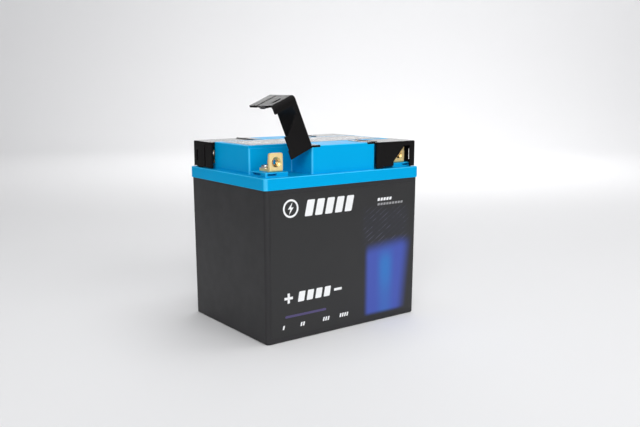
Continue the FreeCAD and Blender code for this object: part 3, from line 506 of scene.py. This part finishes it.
def dress_frame():
    """Give every CAD node the material of its slot; the inserts are turned from a brass of their own."""
    for name, node in NODES.items():
        finish = "insert_brass" if name == "threaded_inserts" else SLOT_OF[name]
        node.data.materials.clear()
        node.data.materials.append(MATERIALS[finish])


# ---------------------------------------------------------------- pieces from meshes

def object_from(mesh, name, material):
    """Turn a finished bmesh into an object of the scene."""
    data = bpy.data.meshes.new(name)
    mesh.to_mesh(data)
    mesh.free()
    data.materials.append(material)
    made = bpy.data.objects.new(name, data)
    bpy.context.scene.collection.objects.link(made)
    return made


def housing_piece(mesh, name, material):
    """Turn a bmesh into a piece that rides on the housing, with its normals outwards."""
    bmesh.ops.recalc_face_normals(mesh, faces=mesh.faces)
    piece = object_from(mesh, name, material)
    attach(piece, "housing")


class Sheet:
    """A printed film: outlines are drawn on it in metres to the right and up from an origin."""

    def __init__(self, origin, right, up, slot_name):
        self.origin = origin
        self.right = right
        self.up = up
        self.out = right.cross(up).normalized()
        self.slot_name = slot_name

    def print_on(self, name, outlines, material):
        """Thin closed slips of ink, one for each outline."""
        mesh = bmesh.new()
        for outline in outlines:
            back = [mesh.verts.new(self.origin + self.right * a + self.up * b) for a, b in outline]
            front = [mesh.verts.new(vertex.co + self.out * INK_THICKNESS) for vertex in back]
            mesh.faces.new(front)
            mesh.faces.new(list(reversed(back)))
            for i in range(len(outline)):
                j = (i + 1) % len(outline)
                mesh.faces.new((back[i], back[j], front[j], front[i]))
        housing_piece(mesh, name, material)


# ---------------------------------------------------------------- outlines

def rounded(points, radius, steps=5):
    """Outline with its corners rounded. A corner takes less than half of each side it ends."""
    most = 0.45
    result = []
    for i, point in enumerate(points):
        corner = Vector(point)
        before = Vector(points[i - 1]) - corner
        after = Vector(points[(i + 1) % len(points)]) - corner
        reach = min(radius, before.length * most, after.length * most)
        start = corner + before.normalized() * reach
        end = corner + after.normalized() * reach
        for k in range(steps + 1):
            t = k / steps
            result.append(tuple(start * (1 - t) ** 2 + corner * (2 * t * (1 - t)) + end * t ** 2))
    return result


def slab(x, z, width, height, slant=0.0, radius=0.5 * MM):
    """Rounded bar whose top is pushed sideways by slant times its height."""
    push = slant * height
    return rounded([(x, z), (x + width, z), (x + width + push, z + height), (x + push, z + height)], radius)


def slabs(count, pitch, x, z, width, height, slant, radius):
    """Row of equal rounded bars."""
    return [slab(x + k * pitch, z, width, height, slant, radius) for k in range(count)]


def ring(x, z, outer, inner, steps=40):
    """Ring as two half outlines, so that each stays a simple polygon."""
    halves = []
    for start in (0.0, math.pi):
        arc = [start + math.pi * k / steps for k in range(steps + 1)]
        outside = [(x + outer * math.cos(a), z + outer * math.sin(a)) for a in arc]
        inside = [(x + inner * math.cos(a), z + inner * math.sin(a)) for a in reversed(arc)]
        halves.append(outside + inside)
    return halves


def plus_sign(x, z, reach, half_width):
    """Outline of a plus, round its centre."""
    r, w = reach, half_width
    return [(x - w, z - r), (x + w, z - r), (x + w, z - w), (x + r, z - w), (x + r, z + w), (x + w, z + w),
            (x + w, z + r), (x - w, z + r), (x - w, z + w), (x - r, z + w), (x - r, z - w), (x - w, z - w)]


def flash(x, z, size):
    """Plain lightning flash inside a box of the given height."""
    narrowed = 0.8
    shape = [(0.30, 0.0), (0.86, 0.58), (0.55, 0.58), (0.72, 1.0), (0.16, 0.44), (0.47, 0.44)]
    return [(x + a * size * narrowed, z + b * size) for a, b in shape]


# ---------------------------------------------------------------- printed marks

FILM_THICKNESS = 0.15 * MM
SLANT = 0.22


def front_prints():
    """Generic marks on the front film, in the places of the printed block on such a label."""
    low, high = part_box("front_label")
    width, height = high.x - low.x, high.z - low.z
    # the film lies on the drafted front, so its foot stands further back than its head
    lean = (high.y - low.y - FILM_THICKNESS) / height
    origin = Vector((low.x, high.y - FILM_THICKNESS - INK_SUNK, low.z))
    film = Sheet(origin, RIGHT, Vector((0.0, -lean, 1.0)).normalized(), "front_film")

    # badge: a ring with a flash in it
    badge_x, badge_z = 0.078 * width, 0.845 * height
    tile = 13.5 * MM
    badge = ring(badge_x + 0.55 * tile, badge_z + 0.5 * tile, 0.56 * tile, 0.44 * tile)
    badge.append(flash(badge_x + 0.24 * tile, badge_z + 0.12 * tile, 0.76 * tile))
    film.print_on("print_badge", badge, WHITE_INK)

    # charge gauge: five bold slanted blocks
    gauge = slabs(5, 10.4 * MM, 0.215 * width, 0.836 * height, 7.6 * MM, 13.5 * MM, SLANT, 1.1 * MM)
    film.print_on("print_gauge", gauge, WHITE_INK)

    # two short broken rules at the top right
    rule_x = 0.722 * width
    bright = slabs(5, 3.4 * MM, rule_x, 0.884 * height, 2.5 * MM, 2.6 * MM, SLANT, 0.4 * MM)
    film.print_on("print_rule_bright", bright, WHITE_INK)
    dim = slabs(9, 3.4 * MM, rule_x, 0.850 * height, 2.5 * MM, 2.0 * MM, SLANT, 0.4 * MM)
    film.print_on("print_rule_dim", dim, GREY_INK)

    # polarity row: plus, cells in series, minus
    row_x, row_z = 0.083 * width, 0.232 * height
    signs = [plus_sign(row_x + 4.4 * MM, row_z + 4.4 * MM, 4.2 * MM, 1.1 * MM)]
    signs += slabs(4, 8.9 * MM, row_x + 13.6 * MM, row_z, 6.3 * MM, 8.6 * MM, 0.18, 0.9 * MM)
    signs.append(slab(row_x + 51.5 * MM, row_z + 3.3 * MM, 8.4 * MM, 2.2 * MM))
    film.print_on("print_polarity", signs, WHITE_INK)

    underline = slab(0.090 * width, 0.128 * height, 42.0 * MM, 2.0 * MM, radius=0.9 * MM)
    film.print_on("print_underline", [underline], VIOLET_INK)

    # tallies of one to four strokes along the foot
    tallies = []
    tally_z = 0.050 * height
    for strokes, share in enumerate((0.072, 0.187, 0.338, 0.455), start=1):
        tallies += slabs(strokes, 2.5 * MM, share * width, tally_z, 1.6 * MM, 3.4 * MM, SLANT, 0.3 * MM)
    film.print_on("print_tallies", tallies, WHITE_INK)


def top_prints():
    """Polarity signs in rings, a gauge and three rules on the top label."""
    low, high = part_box("top_label")
    width = high.x - low.x
    middle = (high.y - low.y) / 2
    film = Sheet(Vector((low.x, low.y, high.z - INK_SUNK)), RIGHT, BACK, "top_film")

    reach, half_stroke = 7.0 * MM, 1.7 * MM
    plus_x, minus_x, gauge_x = 0.13 * width, 0.87 * width, 0.335 * width

    plus = ring(plus_x, middle, 11.0 * MM, 9.8 * MM)
    plus.append(plus_sign(plus_x, middle, reach, half_stroke))
    film.print_on("top_plus", plus, PALE_INK)

    minus = ring(minus_x, middle, 11.0 * MM, 9.8 * MM)
    minus.append(slab(minus_x - reach, middle - half_stroke, 2 * reach, 2 * half_stroke, radius=0.3 * MM))
    film.print_on("top_minus", minus, PALE_INK)

    gauge = slabs(5, 9.2 * MM, gauge_x, middle + 2.0 * MM, 6.6 * MM, 10.0 * MM, SLANT, 1.0 * MM)
    film.print_on("top_gauge", gauge, PALE_INK)

    rules = [slab(gauge_x, middle - (5.0 + 4.2 * k) * MM, (42.0 - 9.0 * k) * MM, 1.6 * MM) for k in range(3)]
    film.print_on("top_lines", rules, GREY_INK)


# ---------------------------------------------------------------- thread in the terminal inserts

def insert_threads():
    """One helical ridge in each insert, running the length of its bore."""
    pitch, length, start = 1.0 * MM, 3.7 * MM, 1.0 * MM
    crest, root = 2.36 * MM, 2.62 * MM
    half_foot, half_crest = 0.40 * MM, 0.07 * MM
    per_turn, fade_steps = 48, 10
    count = int(length / pitch * per_turn)
    inserts_low, inserts_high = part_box("threaded_inserts")
    centre_z = (inserts_low.z + inserts_high.z) / 2
    for name, facing in FACING.items():
        low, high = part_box("terminal_" + name)
        centre_x = (low.x + high.x) / 2
        face_y = high.y if facing > 0 else low.y
        mesh = bmesh.new()
        rows = []
        for i in range(count + 1):
            angle = 2 * math.pi * i / per_turn
            depth = start + i / per_turn * pitch
            # the ridge rises out of the wall at one end and sinks back into it at the other
            tip = root - (root - crest) * min(1.0, i / fade_steps, (count - i) / fade_steps)
            section = ((root, -half_foot), (tip, -half_crest), (tip, half_crest), (root, half_foot))
            row = []
            for radius, offset in section:
                x = centre_x + radius * math.cos(angle)
                y = face_y - facing * (depth + offset)
                z = centre_z + radius * math.sin(angle)
                row.append(mesh.verts.new((x, y, z)))
            rows.append(row)
        for near, far in zip(rows, rows[1:]):
            for k in range(4):
                m = (k + 1) % 4
                mesh.faces.new((near[k], near[m], far[m], far[k]))
        mesh.faces.new(rows[0])
        mesh.faces.new(list(reversed(rows[-1])))
        for face in mesh.faces:
            face.smooth = True
        housing_piece(mesh, "thread_" + name, MATERIALS["insert_brass"])


# ---------------------------------------------------------------- studio

def backdrop():
    """Pale studio floor that sweeps up all round into a low wall."""
    flat, bend, wall_top = 1.9, 1.1, 1.35
    around, bend_steps = 96, 14
    profile = [(0.4, 0.0), (1.0, 0.0), (flat, 0.0)]
    for k in range(1, bend_steps + 1):
        angle = math.pi / 2 * k / bend_steps
        profile.append((flat + bend * math.sin(angle), bend * (1 - math.cos(angle))))
    profile.append((flat + bend, wall_top))

    mesh = bmesh.new()
    centre = mesh.verts.new((0, 0, 0))
    rings = []
    for radius, z in profile:
        angles = [2 * math.pi * k / around for k in range(around)]
        rings.append([mesh.verts.new((radius * math.cos(a), radius * math.sin(a), z)) for a in angles])
    for k in range(around):
        mesh.faces.new((centre, rings[0][k], rings[0][(k + 1) % around]))
    for inner, outer in zip(rings, rings[1:]):
        for k in range(around):
            j = (k + 1) % around
            mesh.faces.new((inner[k], outer[k], outer[j], inner[j]))
    for face in mesh.faces:
        face.smooth = True
    floor = object_from(mesh, "studio_floor", studio_paper())


def softbox(name, place, aim, size, power, spread):
    """Area light pointed at a place. Power in watts; the beam is as wide as the spread, in degrees."""
    data = bpy.data.lights.new(name, "AREA")
    data.shape = "RECTANGLE"
    data.size, data.size_y = size
    data.energy = power
    data.spread = math.radians(spread)
    lamp = bpy.data.objects.new(name, data)
    lamp.location = place
    lamp.rotation_euler = (Vector(aim) - Vector(place)).to_track_quat("-Z", "Y").to_euler()
    bpy.context.scene.collection.objects.link(lamp)


def studio():
    """Backdrop, a dim even sky, and soft lights on the object, the floor and the wall behind it."""
    low, high = cad_box
    middle = (low + high) / 2
    backdrop()
    world = bpy.data.worlds.new("studio")
    world.use_nodes = True
    sky = world.node_tree.nodes["Background"]
    sky.inputs["Color"].default_value = (0.95, 0.97, 1.0, 1)
    sky.inputs["Strength"].default_value = 0.08
    bpy.context.scene.world = world
    # name, place, what it points at, size, power, spread
    lights = (
        ("overhead", (0.35, 0.05, 2.2), (0.35, 0.05, 0.0), (2.0, 1.8), 25.0, 180),
        ("side_top", (1.1, -0.4, 2.0), (1.0, -0.2, 0.0), (1.2, 1.2), 3.5, 120),
        ("front", (0.3, -1.8, 1.1), middle, (1.4, 1.0), 2.2, 70),
        ("fill", (-1.1, -1.4, 1.0), middle, (1.2, 1.0), 4.2, 70),
        ("back", (1.7, 2.2, 1.1), middle, (2.4, 0.5), 2.0, 60),
        ("wall_wash_right", (1.1, 0.7, 1.7), (2.05, 2.2, 0.7), (1.2, 0.6), 12.2, 160),
        ("wall_wash_left", (0.75, 0.9, 1.7), (1.65, 2.45, 0.7), (1.2, 0.6), 7.8, 160),
        ("floor_far", (0.8, 0.4, 1.5), (1.1, 1.2, 0.0), (0.8, 0.8), 3.0, 80),
    )
    for row in lights:
        softbox(*row)
    bpy.context.scene.view_settings.view_transform = "Standard"


def camera():
    """Camera at the viewing angle of a product shot: a little above the lid, looking at the corner."""
    heading, down = 0.641, 0.166
    data = bpy.data.cameras.new("camera")
    data.sensor_width = 36.0
    data.lens = 42.81
    made = bpy.data.objects.new("camera", data)
    made.location = (-0.401344, -0.561686, 0.208972)
    level = math.cos(down)
    forward = Vector((math.sin(heading) * level, math.cos(heading) * level, -math.sin(down)))
    made.rotation_euler = forward.to_track_quat("-Z", "Y").to_euler()
    bpy.context.scene.collection.objects.link(made)
    bpy.context.scene.camera = made


dress_frame()
front_prints()
top_prints()
insert_threads()
studio()
camera()
